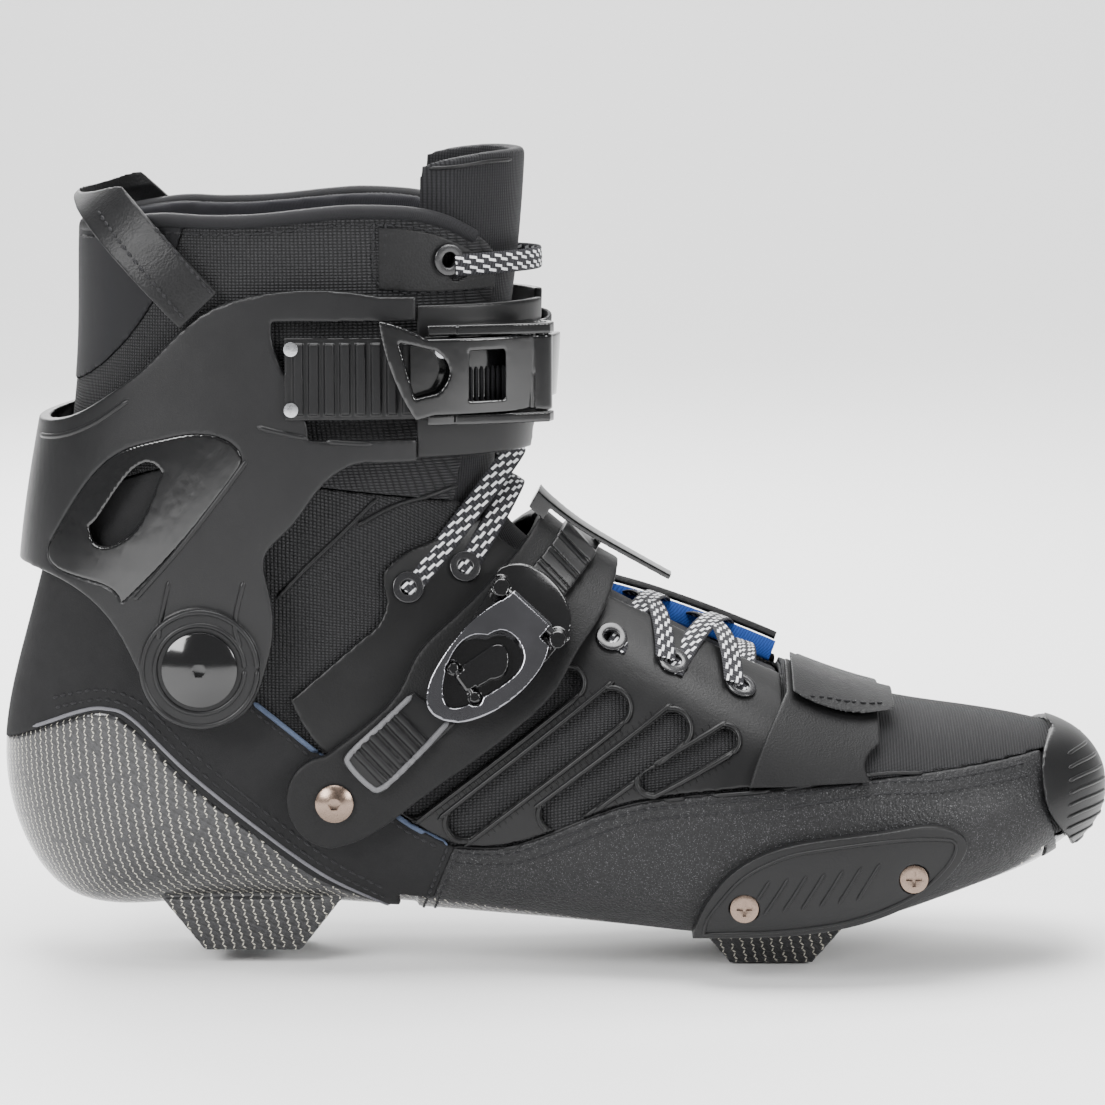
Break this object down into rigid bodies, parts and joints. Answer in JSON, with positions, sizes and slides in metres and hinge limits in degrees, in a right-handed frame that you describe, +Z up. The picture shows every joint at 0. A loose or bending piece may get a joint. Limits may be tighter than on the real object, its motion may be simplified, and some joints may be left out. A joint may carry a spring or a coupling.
{
  "type": "inline speed skate boot",
  "caption": "Right-foot inline skate boot with carbon shell, hinged ankle cuff, ratchet cuff buckle, diagonal instep buckle strap, laces and toe strap.",
  "frame": {"origin": "mouth of the threaded hole in the front frame-mount block, on the block's underside", "axes": "+X towards the toe, +Z up, -Y towards the outer side of the foot (right boot)"},
  "size_m": [0.3204, 0.1119, 0.235],
  "materials": {
    "carbon": "clear-coated carbon weave",
    "steel": "zinc plated",
    "lining": "soft brushed lining",
    "nubuck": "sanded, matte",
    "leather": "grained, slightly glittering",
    "mesh": "coarse open weave",
    "rubber": "moulded, satin",
    "tpu": "soft moulded, satin",
    "knit": "fine ribbed knit",
    "neoprene": "smooth stretch cloth",
    "hard_plastic": "textured",
    "bronze": "dark bronze plating",
    "black_metal": "black lacquer",
    "lace": "flat woven, flecked with pale thread",
    "gloss_black": "high gloss",
    "polished_black": "lacquered metal look, high gloss",
    "strap": "padded synthetic leather",
    "velvet": "brushed hook-and-loop pile",
    "smooth_leather": "smooth, satin",
    "cuff_plastic": "glass-filled, fine texture",
    "soft_plastic": "flexible, satin",
    "ladder_plastic": "toothed, satin"
  },
  "bodies": {
    "boot": {"carbon_shell": "carbon", "mount_inserts": "steel", "footbed": "lining", "heel_overlay": "nubuck", "leather_rand": "leather", "woven_bootie": "mesh", "toe_vamp": "mesh", "toe_cap": "rubber", "eyestay_lateral": "tpu", "eyestay_medial": "tpu", "tongue": "knit", "ankle_padding": "lining", "collar_lining": "lining", "shaft_wall": "mesh", "rear_collar": "neoprene", "side_slider": "hard_plastic", "slider_screws": "bronze", "lace_eyelets": "black_metal", "laces": "lace", "ankle_bosses": "hard_plastic", "pivot_bolts": "steel", "pivot_caps": "gloss_black", "pivot_nuts": "steel", "instep_strap_screw": "bronze", "instep_strap_nut": "steel", "instep_strap_inner": "strap", "toe_strap": "velvet", "toe_strap_base": "smooth_leather"},
    "cuff": {"cuff_shell": "cuff_plastic", "cuff_panels": "gloss_black", "cuff_shields": "soft_plastic", "cuff_ladder": "ladder_plastic", "cuff_strap": "strap", "cuff_buckle_base": "gloss_black", "cuff_buckle_pin": "steel", "cuff_rivets": "black_metal", "pull_loop": "smooth_leather"},
    "cuff_lever": {"cuff_lever": "gloss_black"},
    "instep_strap": {"instep_strap": "strap", "instep_tail": "ladder_plastic", "instep_ladder": "ladder_plastic", "instep_buckle_frame": "gloss_black", "instep_pins": "steel", "instep_keeper": "black_metal"},
    "instep_lever": {"instep_lever": "polished_black"},
    "instep_catch": {"instep_catch": "hard_plastic"},
    "toe_tab": {"toe_strap_tab": "smooth_leather"}
  },
  "joints": [
    {"name": "cuff_lean", "type": "hinge", "parent": "boot", "child": "cuff", "pos_m": [-0.1625, 0, 0.091], "axis": [0, 1, 0], "range_deg": [-5, 5], "deforming": ["tongue", "collar_lining", "shaft_wall", "rear_collar", "laces"]},
    {"name": "cuff_lever_turn", "type": "hinge", "parent": "cuff", "child": "cuff_lever", "pos_m": [-0.0665, -0.036, 0.174], "axis": [0, 0, 1], "range_deg": [0, 70]},
    {"name": "instep_strap_swing", "type": "hinge", "parent": "boot", "child": "instep_strap", "pos_m": [-0.125, -0.04, 0.052], "axis": [0, -1, 0], "range_deg": [0, 2]},
    {"name": "instep_lever_turn", "type": "hinge", "parent": "instep_strap", "child": "instep_lever", "pos_m": [-0.06985, -0.04258, 0.1064], "axis": [-0.7205, 0.2799, 0.6344], "range_deg": [0, 60]},
    {"name": "instep_catch_turn", "type": "hinge", "parent": "instep_strap", "child": "instep_catch", "pos_m": [-0.0882, -0.04865, 0.0874], "axis": [0.5917, -0.1654, -0.789], "range_deg": [0, 15], "stiffness_Nm_per_rad": 0.02},
    {"name": "toe_tab_peel", "type": "hinge", "parent": "boot", "child": "toe_tab", "pos_m": [0.02, -0.0095, 0.0845], "axis": [-0.9707, 0, 0.2402], "range_deg": [0, 45]}
  ]
}
